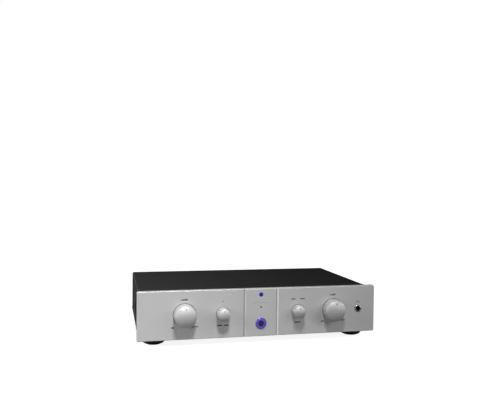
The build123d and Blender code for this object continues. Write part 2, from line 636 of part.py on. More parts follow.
# rocker: shallow V on its outer side, tilted so that its lower half is pressed in
ROCKER_W = 18.4
ROCKER_SECTION = [      # distance behind the pivot, height above it
    (3.5, -5.8), (5.2, -5.8), (5.6, -5.3), (3.7, 0.0), (5.6, 5.3), (5.2, 5.8), (3.5, 5.8),
    (0.0, 6.15), (-4.6, 5.0), (-6.0, 0.0), (-4.6, -5.0), (0.0, -6.15),
]
section = make_face(Plane.YZ * Polyline(*ROCKER_SECTION, close=True))
rocker = Pos(-ROCKER_W / 2, 0, 0) * extrude(section, ROCKER_W)
save("mains_rocker", Pos(IX, ROCKER_Y, ROCKER_Z) * Rot(-10, 0, 0) * rocker)

drawer = box(IX - 10.8, IX + 10.8, REAR - 18, FLANGE + 1.0, DRAWER_Z - 4.1, DRAWER_Z + 4.1)
drawer = fillet(back_edges(drawer), 0.5)
# fuse pocket, then the finger notch
drawer -= box(IX - 10.2, IX + 10.2, REAR - 15.5, REAR - 9.5, DRAWER_Z - 2.7, DRAWER_Z + 6)
drawer -= box(IX - 4.0, IX + 4.0, FLANGE - 0.6, FLANGE + 3, DRAWER_Z + 2.4, DRAWER_Z + 6)
save("fuse_drawer", drawer)
save("mains_fuse", cyl_x(2.6, IX - 10.0, IX + 10.0, REAR - 12.5, DRAWER_Z))

# ================================================================ speaker binding posts
POST_END = REAR + POST_PROUD
POST_BASE = [
    (3.0, -1.5), (4.9, -1.5), (4.9, 0.0), (8.4, 0.0), (8.4, 2.3), (7.7, 3.0), (3.0, 3.0),
]
CAP_Y0, CAP_Y1 = 5.3, POST_PROUD - 0.4     # screw cap's ends behind the rear panel
CAP_PROFILE = [
    (3.0, CAP_Y0), (6.0, CAP_Y0), (6.4, CAP_Y0 + 0.4), (6.4, CAP_Y1 - 0.9), (5.6, CAP_Y1),
    (3.0, CAP_Y1),
]
FLUTES = 12
FLUTE_CIRCLE_R = 6.7


def post_stud(x):
    """Collared stud with a plug bore in its end and an upright cross hole."""
    stud = cyl_y(2.95, REAR - 16, POST_END, x, POST_Z)
    stud = chamfer(back_edges(stud).filter_by(GeomType.CIRCLE), 0.3)
    stud += cyl_y(6.0, REAR + 3.0, REAR + 5.2, x, POST_Z)
    stud -= cyl_y(2.05, POST_END - 15, POST_END + 1, x, POST_Z)
    stud -= cyl_z(1.2, POST_Z - 5, POST_Z + 5, x, REAR + 7.4)
    return stud


def post_cap(x):
    """Screw cap with flutes that stop short of its inner end."""
    cap = turned_y(CAP_PROFILE, x, REAR, POST_Z)
    for k in range(FLUTES):
        a = 2 * math.pi * k / FLUTES
        cap -= cyl_y(0.75, REAR + CAP_Y0 + 3.0, REAR + CAP_Y1 + 1,
                     x + FLUTE_CIRCLE_R * math.cos(a), POST_Z + FLUTE_CIRCLE_R * math.sin(a))
    return cap


save("speaker_post_studs", [post_stud(x) for x in POST_X])
save("speaker_post_bases", [turned_y(POST_BASE, x, REAR, POST_Z) for x in POST_X])
nuts += [hex_nut(10.0, 3.0, REAR_IN - 3.0, REAR_IN, x, POST_Z) for x in POST_X]
save("panel_nuts", nuts)
for name, x in zip(("right_minus", "right_plus", "left_minus", "left_plus"), POST_X):
    save(f"speaker_cap_{name}", post_cap(x))

# ================================================================ phono line inputs
SHELL_PROFILE = [
    (3.55, 1.6), (5.6, 1.6), (5.6, 2.8), (4.15, 2.8), (4.15, 11.0), (3.95, 11.2), (3.55, 11.2),
]
block = box(60, 130, REAR, REAR + 1.6, 30, 78)
block = fillet(block.edges().filter_by(Axis.Y), 2.0)
block += box(62, 128, INPUT_BOARD_Y + PCB, REAR_IN, 32, 76)
for x, z in LINE_PLACES:
    block += cyl_y(5.1, REAR_IN - 0.5, REAR + 0.5, x, z)
    block += cyl_y(3.5, REAR + 1.0, REAR + 9.6, x, z)
block = drill_y(block, 1.6, REAR - 6, REAR + 11, LINE_PLACES)
save("line_in_shells", [turned_y(SHELL_PROFILE, x, REAR, z) for x, z in LINE_PLACES])
save("line_in_block", block)
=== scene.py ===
"""A desktop amplifier: materials, printed marks and small turned parts for its CAD pieces.

Metres, +Z up, standing on the floor at z = 0. The faceplate faces -Y, the rear panel faces +Y,
and +X is to the right as seen from the front. Printed marks are laid out in millimetres.
"""

import bpy
import bmesh
import json
import math
from mathutils import Vector, Matrix

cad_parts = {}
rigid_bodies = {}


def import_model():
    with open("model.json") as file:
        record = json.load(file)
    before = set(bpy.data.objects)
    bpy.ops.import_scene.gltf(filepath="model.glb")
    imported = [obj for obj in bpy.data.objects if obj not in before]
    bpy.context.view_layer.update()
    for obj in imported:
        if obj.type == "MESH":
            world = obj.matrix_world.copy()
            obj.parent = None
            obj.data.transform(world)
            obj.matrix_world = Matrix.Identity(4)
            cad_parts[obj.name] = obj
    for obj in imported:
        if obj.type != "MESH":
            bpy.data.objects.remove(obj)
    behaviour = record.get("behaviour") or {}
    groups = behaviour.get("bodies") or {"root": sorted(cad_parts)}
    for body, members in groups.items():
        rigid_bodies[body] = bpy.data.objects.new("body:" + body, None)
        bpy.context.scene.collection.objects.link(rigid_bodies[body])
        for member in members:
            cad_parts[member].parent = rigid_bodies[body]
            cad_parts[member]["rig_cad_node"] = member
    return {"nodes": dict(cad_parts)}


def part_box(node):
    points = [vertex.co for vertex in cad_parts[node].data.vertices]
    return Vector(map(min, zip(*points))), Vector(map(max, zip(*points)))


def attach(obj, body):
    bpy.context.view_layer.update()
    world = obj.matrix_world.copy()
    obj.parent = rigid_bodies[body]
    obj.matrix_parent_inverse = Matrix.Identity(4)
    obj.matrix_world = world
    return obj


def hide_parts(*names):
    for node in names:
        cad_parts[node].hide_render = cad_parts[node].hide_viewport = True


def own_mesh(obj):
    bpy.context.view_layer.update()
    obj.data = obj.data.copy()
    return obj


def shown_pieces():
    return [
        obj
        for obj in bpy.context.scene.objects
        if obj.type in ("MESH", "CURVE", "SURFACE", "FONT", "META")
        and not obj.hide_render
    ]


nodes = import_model()["nodes"]
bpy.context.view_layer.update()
scene = bpy.context.scene

MM = 0.001
plate_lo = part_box("faceplate")[0]
FRONT_Y = plate_lo.y
PLATE_BOTTOM = plate_lo.z
REAR_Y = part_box("rear_panel")[1].y


def centre(node_name):
    lo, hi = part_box(node_name)
    return (lo + hi) / 2


# ------------------------------------------------------------------ shader helpers
def add_math(tree, operation, first, second=None):
    """Adds a math node whose inputs are numbers or sockets, and gives its output."""
    node = tree.nodes.new("ShaderNodeMath")
    node.operation = operation
    for i, value in enumerate((first, second)):
        if isinstance(value, (int, float)):
            node.inputs[i].default_value = value
        elif value is not None:
            tree.links.new(value, node.inputs[i])
    return node.outputs[0]


def shade(colour, factor):
    return tuple(channel * factor for channel in colour)


class Surface:
    """Builds one procedural material round a Principled BSDF."""

    def __init__(self, name, base, rough=0.5, metal=0.0, spec=0.5):
        self.material = bpy.data.materials.new(name)
        self.material.use_nodes = True
        self.tree = self.material.node_tree
        self.tree.nodes.clear()
        output = self.node("ShaderNodeOutputMaterial")
        bsdf = self.node("ShaderNodeBsdfPrincipled")
        self.link(bsdf.outputs[0], output.inputs[0])
        self.inputs = bsdf.inputs
        self.inputs["Base Color"].default_value = (*base, 1)
        self.inputs["Roughness"].default_value = rough
        self.inputs["Metallic"].default_value = metal
        self.inputs["Specular IOR Level"].default_value = spec
        self.base = base
        coord = self.node("ShaderNodeTexCoord")
        self.place = coord.outputs["Object"]
        self.facing = coord.outputs["Normal"]
        self.normal = None

    def node(self, kind, **settings):
        node = self.tree.nodes.new(kind)
        for key, value in settings.items():
            setattr(node, key, value)
        return node

    def link(self, source, target):
        self.tree.links.new(source, target)

    # arithmetic on sockets
    def math(self, operation, first, second=None):
        return add_math(self.tree, operation, first, second)

    def times(self, first, second):
        return self.math("MULTIPLY", first, second)

    def above(self, value, limit):
        return self.math("GREATER_THAN", value, limit)

    def below(self, value, limit):
        return self.math("LESS_THAN", value, limit)

    def absolute(self, value):
        return self.math("ABSOLUTE", value)

    def blend(self, first, share, second):
        """Weighted sum in which first has this share and second has the rest."""
        return self.math("ADD", self.times(first, share), self.times(second, 1 - share))

    def remap(self, value, low, high, start=0.0, end=1.0):
        """Takes start..end to low..high."""
        node = self.node("ShaderNodeMapRange")
        node.inputs["From Min"].default_value = start
        node.inputs["From Max"].default_value = end
        node.inputs["To Min"].default_value = low
        node.inputs["To Max"].default_value = high
        self.link(value, node.inputs["Value"])
        return node.outputs["Result"]

    # coordinates and textures
    def mapped(self, scale=(1, 1, 1), loc=(0, 0, 0)):
        node = self.node("ShaderNodeMapping")
        node.inputs["Scale"].default_value = scale
        node.inputs["Location"].default_value = loc
        self.link(self.place, node.inputs["Vector"])
        return node.outputs["Vector"]

    def axes(self, vector):
        node = self.node("ShaderNodeSeparateXYZ")
        self.link(vector, node.inputs[0])
        return node.outputs

    def noise(self, scale, detail=2.0, rough=0.5, vector=None):
        node = self.node("ShaderNodeTexNoise")
        node.inputs["Scale"].default_value = scale
        node.inputs["Detail"].default_value = detail
        node.inputs["Roughness"].default_value = rough
        self.link(self.mapped() if vector is None else vector, node.inputs["Vector"])
        return node.outputs["Fac"]

    def mix(self, data_type, factor):
        """Adds a mix node and gives its A input, B input and result."""
        node = self.node("ShaderNodeMix", data_type=data_type)
        self.link(factor, node.inputs[0])
        kind = "RGBA" if data_type == "RGBA" else "VALUE"
        # the float factor is also a VALUE socket, so A and B are the last two
        socket_a, socket_b = [s for s in node.inputs if s.type == kind][-2:]
        result = [s for s in node.outputs if s.type == kind][0]
        return socket_a, socket_b, result

    # what the surface looks like
    def vary_colour(self, factor, first, second):
        socket_a, socket_b, result = self.mix("RGBA", factor)
        socket_a.default_value = (*first, 1)
        socket_b.default_value = (*second, 1)
        self.link(result, self.inputs["Base Color"])

    def vary_shade(self, factor, low, high):
        """Runs from low to high times the base colour."""
        self.vary_colour(factor, shade(self.base, low), shade(self.base, high))

    def vary_rough(self, factor, low, high):
        # noise seldom leaves the middle half of its range
        self.link(self.remap(factor, low, high, start=0.25, end=0.75), self.inputs["Roughness"])

    def bump(self, height, strength, distance):
        """Adds relief on top of any bump already there."""
        node = self.node("ShaderNodeBump")
        node.inputs["Strength"].default_value = strength
        node.inputs["Distance"].default_value = distance
        self.link(height, node.inputs["Height"])
        if self.normal is not None:
            self.link(self.normal, node.inputs["Normal"])
        self.normal = node.outputs["Normal"]
        self.link(self.normal, self.inputs["Normal"])

    def over(self, mask, colour, rough, metal):
        """Where mask is 1 the surface takes this colour, roughness and metalness instead."""
        target = self.inputs["Base Color"]
        socket_a, socket_b, result = self.mix("RGBA", mask)
        self.link(target.links[0].from_socket, socket_a)
        socket_b.default_value = (*colour, 1)
        self.link(result, target)
        for key, value in (("Roughness", rough), ("Metallic", metal)):
            target = self.inputs[key]
            socket_a, socket_b, result = self.mix("FLOAT", mask)
            if target.links:
                self.link(target.links[0].from_socket, socket_a)
            else:
                socket_a.default_value = target.default_value
            socket_b.default_value = value
            self.link(result, target)


# ------------------------------------------------------------------ kinds of material
def satin_plate(name, base, rough):
    """Bead-blasted, anodised plate: faint marks along X under a fine even grain."""
    mat = Surface(name, base, rough, metal=0.5)
    grain = mat.noise(scale=2600, rough=0.6)
    roll = mat.noise(scale=1.0, detail=3.0, rough=0.55, vector=mat.mapped(scale=(14, 40, 900)))
    cloud = mat.noise(scale=9.0, detail=3.0)
    mat.vary_shade(mat.blend(cloud, 0.5, roll), low=0.965, high=1.02)
    mat.vary_rough(mat.blend(grain, 0.6, roll), low=rough - 0.05, high=rough + 0.05)
    mat.bump(roll, strength=0.10, distance=0.00006)
    mat.bump(grain, strength=0.16, distance=0.00005)
    facing = mat.axes(mat.facing)
    place = mat.axes(mat.place)
    # painted shade: the top and bottom edges are darkened, to dim the highlight along them
    shaded_edges = mat.above(mat.absolute(facing["Z"]), 0.6)
    mat.over(shaded_edges, shade(base, 0.62), rough=rough + 0.1, metal=0.5)
    # flanks of the two V grooves: painted shade on the flanks facing right, painted highlight on
    # the flanks facing left, brightest in the right groove
    middle = mat.below(mat.absolute(place["X"]), 0.045)
    shaded_flank = mat.times(mat.above(facing["X"], 0.3), middle)
    toward = mat.times(mat.below(facing["X"], -0.3), middle)
    right = mat.above(place["X"], 0.0)
    mat.over(shaded_flank, shade(base, 0.72), rough=rough, metal=0.6)
    mat.over(toward, (0.66, 0.66, 0.665), rough=0.46, metal=0.5)
    mat.over(mat.times(toward, right), (0.95, 0.95, 0.955), rough=0.38, metal=0.55)
    return mat.material


def turned_metal(name, base, rough, axis, pointer_start, pointer_end):
    """Metal turned on a lathe: fine rings about a line along Y through axis, and a dark pointer.

    The pointer runs up from pointer_start to pointer_end, measured from the axis.
    """
    pointer_half_width = 0.00062
    to_axis = (-axis.x, 0, -axis.z)
    mat = Surface(name, base, rough, metal=0.6)
    place = mat.axes(mat.mapped(loc=to_axis))
    radius = mat.math("SQRT", mat.math(
        "ADD", mat.times(place["X"], place["X"]), mat.times(place["Z"], place["Z"])))
    ring_place = mat.node("ShaderNodeCombineXYZ")
    mat.link(mat.times(radius, 1.0), ring_place.inputs["X"])
    mat.link(mat.times(place["Y"], 1.0), ring_place.inputs["Y"])
    rings = mat.noise(scale=4200, vector=ring_place.outputs[0])
    cloud = mat.noise(scale=60.0)
    mat.vary_shade(mat.blend(rings, 0.7, cloud), low=0.95, high=1.03)
    mat.vary_rough(rings, low=rough - 0.04, high=rough + 0.05)
    mat.bump(rings, strength=0.18, distance=0.00005)
    # the milled pointer line is filled dark
    place = mat.axes(mat.mapped(loc=to_axis))
    across = mat.below(mat.absolute(place["X"]), pointer_half_width)
    along = mat.times(mat.above(place["Z"], pointer_start), mat.below(place["Z"], pointer_end))
    mat.over(mat.times(across, along), (0.07, 0.07, 0.075), rough=0.6, metal=0.0)
    return mat.material


def powder_coat(name, base, rough):
    """Fine-textured powder coat: orange-peel relief and uneven gloss."""
    mat = Surface(name, base, rough, spec=0.22)
    peel = mat.noise(scale=900, rough=0.55)
    fine = mat.noise(scale=2600, detail=1.0)
    cloud = mat.noise(scale=14.0, detail=3.0, rough=0.55)
    mat.vary_shade(mat.blend(cloud, 0.6, fine), low=0.82, high=1.22)
    mat.vary_rough(mat.blend(peel, 0.6, cloud), low=rough - 0.07, high=rough + 0.08)
    mat.bump(peel, strength=0.35, distance=0.00012)
    mat.bump(fine, strength=0.15, distance=0.00005)
    return mat.material


def moulded(name, base, rough, grain=1600, depth=0.00005, var=0.12, spec=0.5):
    """Moulded plastic: grain of this scale and depth, with slow changes in gloss and tone."""
    mat = Surface(name, base, rough, spec=spec)
    texture = mat.noise(scale=grain)
    cloud = mat.noise(scale=45.0)
    mat.vary_shade(cloud, low=1 - var, high=1 + var)
    mat.vary_rough(mat.blend(texture, 0.5, cloud), low=rough - 0.06, high=rough + 0.07)
    mat.bump(texture, strength=0.25, distance=depth)
    return mat.material


def plated(name, base, rough, var=0.06):
    """Plated or polished metal with light handling marks."""
    mat = Surface(name, base, rough, metal=1.0)
    smear = mat.noise(scale=130.0, detail=3.0, rough=0.6)
    fine = mat.noise(scale=1900.0, detail=1.0)
    mat.vary_shade(smear, low=1 - var, high=1 + var * 0.5)
    mat.vary_rough(smear, low=rough - 0.05, high=rough + 0.09)
    mat.bump(fine, strength=0.08, distance=0.00002)
    return mat.material


def sheet_zinc(name, base, rough):
    """Zinc-plated sheet: streaks along Y and cloudy passivation."""
    mat = Surface(name, base, rough, metal=1.0)
    roll = mat.noise(scale=1.0, detail=3.0, rough=0.6, vector=mat.mapped(scale=(900, 18, 900)))
    cloud = mat.noise(scale=30.0, detail=4.0, rough=0.6)
    mat.vary_shade(cloud, low=0.8, high=1.12)
    mat.vary_rough(mat.blend(roll, 0.5, cloud), low=rough - 0.08, high=rough + 0.12)
    mat.bump(roll, strength=0.15, distance=0.00004)
    return mat.material


def board(name, base):
    """Circuit board: solder mask over a net of raised, paler tracks."""
    mat = Surface(name, base, rough=0.28)
    cells = mat.node("ShaderNodeTexVoronoi", feature="DISTANCE_TO_EDGE")
    cells.inputs["Scale"].default_value = 130
    mat.link(mat.mapped(), cells.inputs["Vector"])
    track = mat.below(cells.outputs["Distance"], 0.06)
    mat.vary_shade(track, low=0.85, high=1.9)
    mat.vary_rough(mat.noise(scale=60), low=0.2, high=0.36)
    mat.bump(track, strength=0.3, distance=0.00004)
    return mat.material


def rubber(name, base):
    mat = Surface(name, base, rough=0.72, spec=0.35)
    grain = mat.noise(scale=1200, detail=3.0, rough=0.6)
    dust = mat.noise(scale=85.0, detail=3.0, rough=0.6)
    mat.vary_shade(dust, low=0.8, high=1.5)
    mat.vary_rough(dust, low=0.62, high=0.82)
    mat.bump(grain, strength=0.4, distance=0.00008)
    return mat.material


def lit(name, base, glow, strength):
    """Plastic that glows, a little brighter in patches."""
    mat = Surface(name, base, rough=0.45, spec=0.2)
    patches = mat.noise(scale=420.0, detail=1.0)
    mat.vary_shade(patches, low=0.85, high=1.1)
    mat.vary_rough(mat.noise(scale=900.0), low=0.38, high=0.52)
    mat.inputs["Emission Color"].default_value = (*glow, 1)
    power = mat.remap(patches, low=strength * 0.7, high=strength * 1.3, start=0.3, end=0.7)
    mat.link(power, mat.inputs["Emission Strength"])
    return mat.material


def ink(name, base):
    """Screen-printed ink: matt and finely mottled."""
    mat = Surface(name, base, rough=0.6, spec=0.3)
    mottle = mat.noise(scale=1500.0, rough=0.6)
    mat.vary_shade(mottle, low=0.8, high=1.25)
    mat.vary_rough(mottle, low=0.5, high=0.72)
    mat.bump(mottle, strength=0.2, distance=0.00002)
    return mat.material


# where each colour starts on the 0 to 1 random scale, and the colour
LEAD_COLOURS = (
    (0.0, (0.28, 0.02, 0.02)), (0.3, (0.02, 0.02, 0.022)), (0.55, (0.02, 0.06, 0.25)),
    (0.75, (0.45, 0.44, 0.42)), (0.9, (0.4, 0.3, 0.03)),
)


def lead_sleeve(name):
    """Lead insulation: each separate lead takes one of a few colours."""
    mat = Surface(name, (0.3, 0.03, 0.03), rough=0.4)
    geometry = mat.node("ShaderNodeNewGeometry")
    picker = mat.node("ShaderNodeValToRGB")
    picker.color_ramp.interpolation = "CONSTANT"
    elements = picker.color_ramp.elements
    for i, (start, colour) in enumerate(LEAD_COLOURS):
        # a new ramp already holds two elements
        element = elements[i] if i < 2 else elements.new(start)
        element.position = start
        element.color = (*colour, 1)
    mat.link(geometry.outputs["Random Per Island"], picker.inputs["Fac"])
    mat.link(picker.outputs["Color"], mat.inputs["Base Color"])
    mat.vary_rough(mat.noise(scale=300), low=0.32, high=0.5)
    mat.bump(mat.noise(scale=700), strength=0.2, distance=0.00005)
    return mat.material


def capacitor_sleeve(name, base):
    """Shrunk plastic sleeve, cloudy in tone."""
    mat = Surface(name, base, rough=0.3)
    mat.vary_shade(mat.noise(scale=40), low=0.7, high=1.5)
    mat.vary_rough(mat.noise(scale=200), low=0.22, high=0.38)
    mat.bump(mat.noise(scale=350), strength=0.2, distance=0.00006)
    return mat.material


def glass(name):
    mat = Surface(name, (0.85, 0.9, 0.88), rough=0.05)
    mat.inputs["Transmission Weight"].default_value = 0.85
    mat.vary_rough(mat.noise(scale=200), low=0.02, high=0.1)
    return mat.material


# ------------------------------------------------------------------ the materials
SMOOTH = {"grain": 900, "depth": 0.00002}    # finest moulded grain
GLOSSY = {"grain": 900, "depth": 0.00003}    # the same grain, slightly deeper

M = {
    "faceplate": satin_plate("satin_faceplate", (0.60, 0.598, 0.605), rough=0.52),
    "case": powder_coat("black_powder_coat", (0.0068, 0.0064, 0.0072), rough=0.5),
    "zinc": sheet_zinc("zinc_sheet", (0.26, 0.262, 0.266), rough=0.55),
    "bright": plated("bright_zinc", (0.66, 0.66, 0.67), rough=0.3),
    "steel": plated("turned_steel", (0.62, 0.62, 0.63), rough=0.28),
    "black_screw": plated("black_zinc", (0.045, 0.045, 0.05), rough=0.34, var=0.2),
    # painted reflection: the bezel's chrome is tinted violet for the light ring's glow on it,
    # and darkened
    "chrome": plated("chrome_painted_violet_glow", (0.20, 0.18, 0.34), rough=0.42),
    "gold": plated("gold_plate", (0.84, 0.62, 0.25), rough=0.2),
    "brass": plated("turned_brass", (0.62, 0.46, 0.18), rough=0.3),
    "nickel": plated("nickel_plate", (0.72, 0.70, 0.66), rough=0.22),
    "black": moulded("moulded_black", (0.022, 0.022, 0.024), rough=0.46),
    "gloss_black": moulded("gloss_black", (0.014, 0.014, 0.016), rough=0.2, **GLOSSY),
    "foot": moulded("foot_black", (0.012, 0.012, 0.013), rough=0.34, **SMOOTH),
    "rubber": rubber("foot_rubber", (0.02, 0.02, 0.02)),
    "ring": lit("light_ring_violet", (0.07, 0.05, 0.36), glow=(0.17, 0.12, 0.9), strength=0.22),
    "cap": moulded("button_cap_dark", (0.018, 0.014, 0.06), rough=0.18, **SMOOTH),
    "pipe": moulded("light_pipe_dark", (0.03, 0.03, 0.04), rough=0.2, **SMOOTH),
    "badge": moulded("badge_blue", (0.012, 0.03, 0.33), rough=0.22, **GLOSSY),
    "board": board("solder_mask_green", (0.015, 0.10, 0.04)),
    "component": moulded("component_black", (0.03, 0.03, 0.034), rough=0.4),
    "capacitor": capacitor_sleeve("capacitor_sleeve", (0.02, 0.03, 0.09)),
    "heatsink": moulded("black_anodised", (0.02, 0.02, 0.021), rough=0.4,
                        grain=2200, depth=0.00004, var=0.3, spec=0.7),
    "core": plated("core_strip", (0.3, 0.3, 0.31), rough=0.45, var=0.2),
    "winding": moulded("winding_tape", (0.55, 0.36, 0.05), rough=0.3,
                       grain=220, depth=0.0003, var=0.2),
    "leads": lead_sleeve("lead_insulation"),
    "glass": glass("fuse_glass"),
    "cap_black": moulded("post_cap_black", (0.02, 0.02, 0.021), rough=0.16, **SMOOTH),
    "cap_red": moulded("post_cap_red", (0.42, 0.012, 0.012), rough=0.16, **SMOOTH),
    "ink": ink("ink_dark", (0.018, 0.018, 0.021)),
    "ink_light": ink("ink_light", (0.62, 0.62, 0.6)),
    "ink_grey": ink("ink_grey", (0.25, 0.25, 0.255)),
    "white_plastic": moulded("insert_white", (0.7, 0.69, 0.66), rough=0.35),
    "red_plastic": moulded("insert_red", (0.5, 0.02, 0.02), rough=0.3),
}

# each knob's metal has its rings about that knob's own axis
KNOBS = {
    "volume_knob": "knob_big_l", "headphone_level_knob": "knob_big_r",
    "input_selector_knob": "knob_small_l", "tone_selector_knob": "knob_small_r",
}
POINTER_BIG = (0.0111, 0.0143)      # pointer's start and end, out from the knob's axis
POINTER_SMALL = (0.0053, 0.0078)
for knob_node, key in KNOBS.items():
    start, end = POINTER_BIG if "big" in key else POINTER_SMALL
    M[key] = turned_metal("turned_" + key, (0.49, 0.49, 0.495), rough=0.60,
                          axis=centre(knob_node), pointer_start=start, pointer_end=end)

# material: the pieces that wear it
WEARERS = {
    "faceplate": "faceplate",
    "case": "top_cover rear_panel",
    "zinc": "chassis_base sub_panel transformer_clamp",
    "bright": "foot_screws volume_pot_body headphone_pot_body transformer_bolt",
    "steel": "power_button_spring volume_pot_shaft headphone_pot_shaft input_selector_shaft "
             "tone_selector_shaft panel_nuts",
    "black_screw": "faceplate_screws case_screws",
    "chrome": "power_button_bezel",
    "gold": "speaker_post_studs line_in_shells",
    "brass": "board_standoffs",
    "nickel": "headphone_jack_nut mains_inlet_pins",
    "black": "power_switch_body headphone_jack input_selector_switch tone_selector_switch "
             "mains_inlet_body fuse_drawer speaker_post_bases line_in_block",
    "gloss_black": "mains_rocker",
    "foot": "feet",
    "rubber": "foot_pads transformer_pads",
    "ring": "power_button_light_ring",
    "cap": "power_button_cap",
    "pipe": "indicator_light_pipe",
    "badge": "front_badge_disc",
    "board": "control_board input_board power_supply_board amplifier_board",
    "component": "board_components output_transistors",
    "capacitor": "reservoir_capacitors",
    "heatsink": "heatsink",
    "core": "transformer_core",
    "winding": "transformer_winding",
    "leads": "internal_wires",
    "glass": "mains_fuse",
    "cap_black": "speaker_cap_right_minus speaker_cap_left_minus",
    "cap_red": "speaker_cap_right_plus speaker_cap_left_plus",
}
worn = {piece: key for key, pieces in WEARERS.items() for piece in pieces.split()}
worn.update(KNOBS)
for name, obj in nodes.items():
    obj.data.materials.clear()
    obj.data.materials.append(M[worn[name]])


# ------------------------------------------------------------------ mesh helpers
def mesh_object(name, bm, material):
    """Turns a bmesh into a linked object with one material."""
    mesh = bpy.data.meshes.new(name)
    bm.to_mesh(mesh)
    bm.free()
    mesh.materials.append(material)
    obj = bpy.data.objects.new(name, mesh)
    scene.collection.objects.link(obj)
    return obj


def chassis_piece(name, bm, material):
    bmesh.ops.recalc_face_normals(bm, faces=bm.faces)
    obj = mesh_object(name, bm, material)
    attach(obj, "chassis")


# ------------------------------------------------------------------ flat shapes, (x, z) in mm
def arc(x, z, radius, start, end, steps):
    """Points round x, z between two angles in degrees, both ends included."""
    angles = [math.radians(start + (end - start) * i / steps) for i in range(steps + 1)]
    return [(x + radius * math.cos(a), z + radius * math.sin(a)) for a in angles]


def pill(x, z, width, height):
    """Bar with round ends, centred on x, z."""
    radius = height / 2
    reach = width / 2 - radius
    return arc(x + reach, z, radius, -90, 90, 6) + arc(x - reach, z, radius, 90, 270, 6)


def disc(x, z, radius):
    return arc(x, z, radius, 0, 360, 24)[:-1]


def arc_band(x, z, inner, outer, start, end, steps):
    return arc(x, z, outer, start, end, steps) + arc(x, z, inner, start, end, steps)[::-1]


def rectangle(x0, x1, z0, z1):
    return [(x0, z0), (x1, z0), (x1, z1), (x0, z1)]


def border(x0, x1, z0, z1, line):
    """Four bars of a plain rectangular border."""
    return [
        rectangle(x0, x1, z0, z0 + line),
        rectangle(x0, x1, z1 - line, z1),
        rectangle(x0, x0 + line, z0 + line, z1 - line),
        rectangle(x1 - line, x1, z0 + line, z1 - line),
    ]


def rising_bars(x, bottom, width):
    """Seven bars growing to the right, the plain sign for level."""
    count, shortest, growth, filled = 7, 1.9, 1.3, 0.78
    half = width / count * filled / 2
    bars = []
    for i in range(count):
        bar_x = x - width / 2 + width * (i + 0.5) / count
        height = shortest + growth * i / (count - 1)
        bars.append(rectangle(bar_x - half, bar_x + half, bottom, bottom + height))
    return bars


# ------------------------------------------------------------------ printing
INK_THICKNESS = 0.00004
INK_SINK = 0.00001       # how far the ink's hidden face lies below the panel's surface


def print_marks(name, shapes, surface_y, side, material):
    """Gives flat shapes an ink's thickness. side is -1 facing -Y and 1 facing +Y."""
    level = surface_y - side * INK_SINK
    bm = bmesh.new()
    for points in shapes:
        face = bm.faces.new([bm.verts.new((x * MM, level, z * MM)) for x, z in points])
        face.normal_update()
        if face.normal.y * side < 0:
            face.normal_flip()
        extruded = bmesh.ops.extrude_face_region(bm, geom=[face])["geom"]
        raised = [item for item in extruded if isinstance(item, bmesh.types.BMVert)]
        bmesh.ops.translate(bm, verts=raised, vec=(0, side * INK_THICKNESS, 0))
    chassis_piece(name, bm, M[material])


def print_front(name, shapes, material):
    print_marks(name, shapes, FRONT_Y, -1, material)


plate_z = PLATE_BOTTOM / MM      # heights on the front are measured from here
volume, headphone, selector, tone = (centre(knob) / MM for knob in KNOBS)
DIAL_ARC = {"start": -42, "end": 222}

front_marks = []
# bars over the large knobs: knob, height of their feet, width of the row
for knob, height, width in ((volume, 67.2, 12.0), (headphone, 67.7, 10.5)):
    front_marks += rising_bars(knob.x - 1.0, plate_z + height, width)
# an arc round each large knob, and a bar low on either side of it
for knob, lift in ((volume, 0.0), (headphone, 0.6)):
    front_marks += [
        arc_band(knob.x, knob.z, inner=19.8, outer=20.5, steps=60, **DIAL_ARC),
        pill(knob.x - 20.4, plate_z + 21.3 + lift, width=5.6, height=2.0),
        pill(knob.x + 18.2, plate_z + 21.6 + lift, width=11.4, height=1.35),
    ]
for knob in (selector, tone):
    front_marks.append(arc_band(knob.x, knob.z, inner=11.8, outer=12.4, steps=48, **DIAL_ARC))
front_marks.append(disc(selector.x, plate_z + 63.4, radius=0.9))
# bars by the small knobs: knob, offset in x, height on the plate, width, thickness
for knob, offset, height, width, thickness in (
    (selector, -5.8, 22.0, 9.2, 1.9),
    (selector, 5.8, 22.0, 8.6, 1.9),
    (tone, -8.6, 63.5, 8.2, 1.6),
    (tone, 8.4, 63.5, 8.6, 1.6),
    (tone, 0.0, 22.0, 12.5, 1.9),
):
    front_marks.append(pill(knob.x + offset, plate_z + height, width, thickness))
print_front("front_printed_marks", front_marks, "ink")
print_front("front_fine_line", [pill(-1.5, plate_z + 59.2, width=23.0, height=0.5)], "ink_grey")

# headphone symbol: a band with an ear cup under each end
BAND_INNER, BAND_OUTER = 2.1, 2.6
CUP_HALF_WIDTH = 0.65
CUP_BOTTOM, CUP_TOP = 52.8, 55.0
symbol_x = centre("headphone_jack_nut").x / MM - 0.4
symbol = [arc_band(symbol_x, plate_z + 54.6, BAND_INNER, BAND_OUTER, start=5, end=175, steps=20)]
for side in (-1, 1):
    cup_x = symbol_x + side * (BAND_INNER + BAND_OUTER) / 2
    symbol.append(rectangle(cup_x - CUP_HALF_WIDTH, cup_x + CUP_HALF_WIDTH,
                            plate_z + CUP_BOTTOM, plate_z + CUP_TOP))
print_front("front_headphone_symbol", symbol, "ink")

